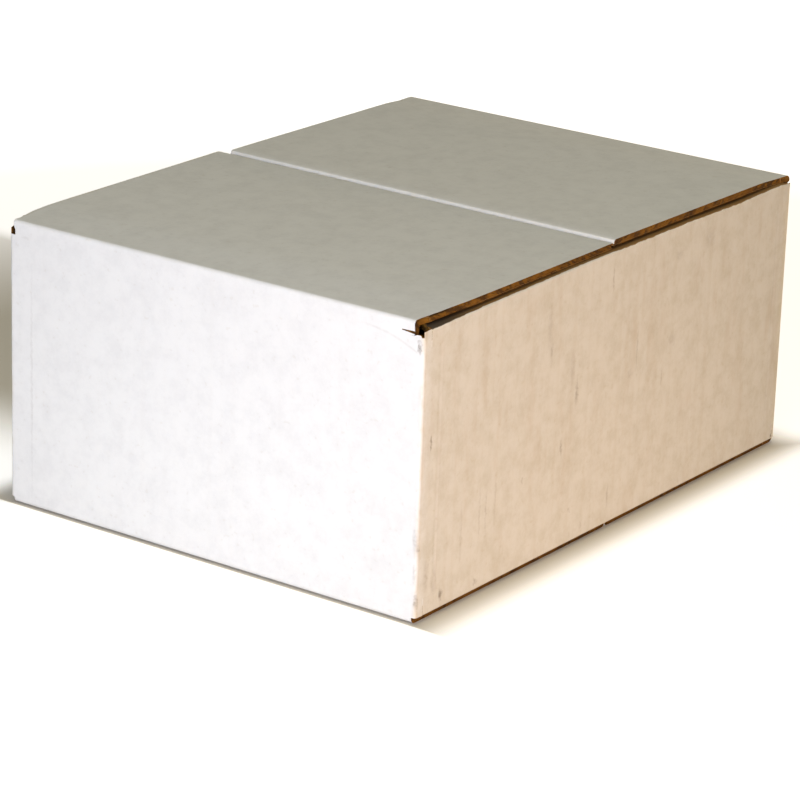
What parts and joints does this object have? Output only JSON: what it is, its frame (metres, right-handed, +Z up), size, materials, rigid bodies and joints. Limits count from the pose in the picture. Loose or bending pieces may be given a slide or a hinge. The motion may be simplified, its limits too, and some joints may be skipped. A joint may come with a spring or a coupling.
{
  "type": "corrugated gift box with divider insert",
  "caption": "Closed white corrugated slotted carton whose four top flaps fold open over a lift-out insert of crossed cell dividers on a pad.",
  "frame": {"origin": "on the floor, under the middle of the carton", "axes": "+Z up; +Y towards the back panel, along the carton's longer side; +X towards the right panel"},
  "size_m": [0.2346, 0.3108, 0.1417],
  "materials": {
    "white_board": "matte white-top liner over brown corrugated board",
    "kraft_board": "plain brown kraft liner",
    "hot_melt": "dried hot-melt glue"
  },
  "bodies": {
    "carton": {"front_panel": "white_board", "back_panel": "white_board", "left_panel": "white_board", "right_panel": "white_board", "front_base_flap": "white_board", "back_base_flap": "white_board", "left_base_flap": "white_board", "right_base_flap": "white_board", "front_left_bead": "hot_melt", "front_right_bead": "hot_melt", "back_left_bead": "hot_melt", "back_right_bead": "hot_melt", "glue_tab": "kraft_board", "tab_glue": "hot_melt", "insert_pad": "kraft_board"},
    "front_flap": {"front_top_flap": "white_board"},
    "back_flap": {"back_top_flap": "white_board"},
    "left_flap": {"left_top_flap": "white_board"},
    "right_flap": {"right_top_flap": "white_board"},
    "insert": {"long_divider_1": "kraft_board", "long_divider_2": "kraft_board", "cross_divider_1": "kraft_board", "cross_divider_2": "kraft_board", "cross_divider_3": "kraft_board"}
  },
  "joints": [
    {"name": "front_flap_fold", "type": "hinge", "parent": "carton", "child": "front_flap", "pos_m": [0, -0.1554, 0.1398], "axis": [1, 0, 0], "range_deg": [0, 175]},
    {"name": "back_flap_fold", "type": "hinge", "parent": "carton", "child": "back_flap", "pos_m": [0, 0.1554, 0.1398], "axis": [-1, 0, 0], "range_deg": [0, 175]},
    {"name": "left_flap_fold", "type": "hinge", "parent": "carton", "child": "left_flap", "pos_m": [-0.1173, 0, 0.1348], "axis": [0, -1, 0], "range_deg": [0, 96.25]},
    {"name": "right_flap_fold", "type": "hinge", "parent": "carton", "child": "right_flap", "pos_m": [0.1173, 0, 0.1348], "axis": [0, 1, 0], "range_deg": [0, 96.25]},
    {"name": "insert_lift", "type": "slide", "parent": "carton", "child": "insert", "axis": [0, 0, 1], "range_m": [0, 0.02]}
  ],
  "couplings": [
    {"joint": "back_flap_fold", "follows": "front_flap_fold", "ratio": 1},
    {"joint": "left_flap_fold", "follows": "front_flap_fold", "ratio": 0.55},
    {"joint": "right_flap_fold", "follows": "front_flap_fold", "ratio": 0.55}
  ]
}
